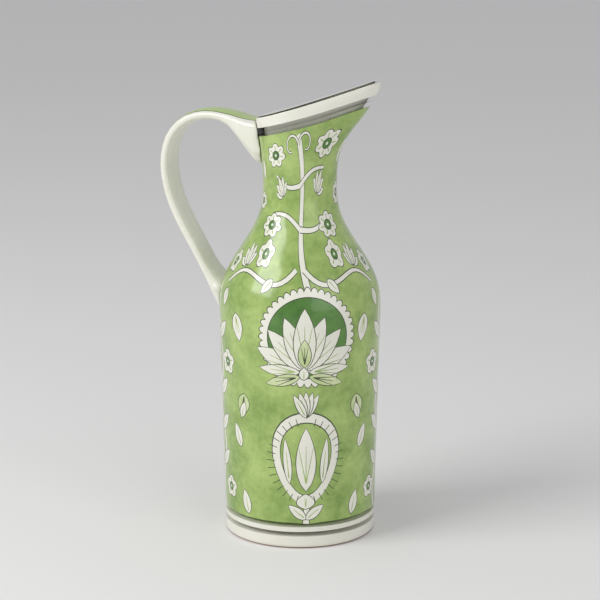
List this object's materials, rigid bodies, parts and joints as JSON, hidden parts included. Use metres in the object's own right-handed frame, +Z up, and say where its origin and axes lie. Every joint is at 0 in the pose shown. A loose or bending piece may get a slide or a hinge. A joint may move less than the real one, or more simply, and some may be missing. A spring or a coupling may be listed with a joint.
{
  "type": "ceramic jug vase",
  "caption": "Tall glazed ceramic jug vase with a straight body, round shoulder, slim neck, slanted pouring lip and a strap handle.",
  "frame": {"origin": "centre of the flat standing face, on the axis of the body and neck", "axes": "+Z up along the body's axis, +X towards the pouring lip, the handle on -X"},
  "size_m": [0.1503, 0.1046, 0.299],
  "materials": {
    "foot_glaze": "clear glaze over white slip, bare clay on the standing face",
    "painted_glaze": "underglaze floral painting under a clear gloss glaze",
    "handle_glaze": "white glaze with a green brushed stripe"
  },
  "bodies": {
    "root": {"foot": "foot_glaze", "body": "painted_glaze", "shoulder": "painted_glaze", "neck_and_lip": "painted_glaze", "handle": "handle_glaze"}
  },
  "joints": []
}
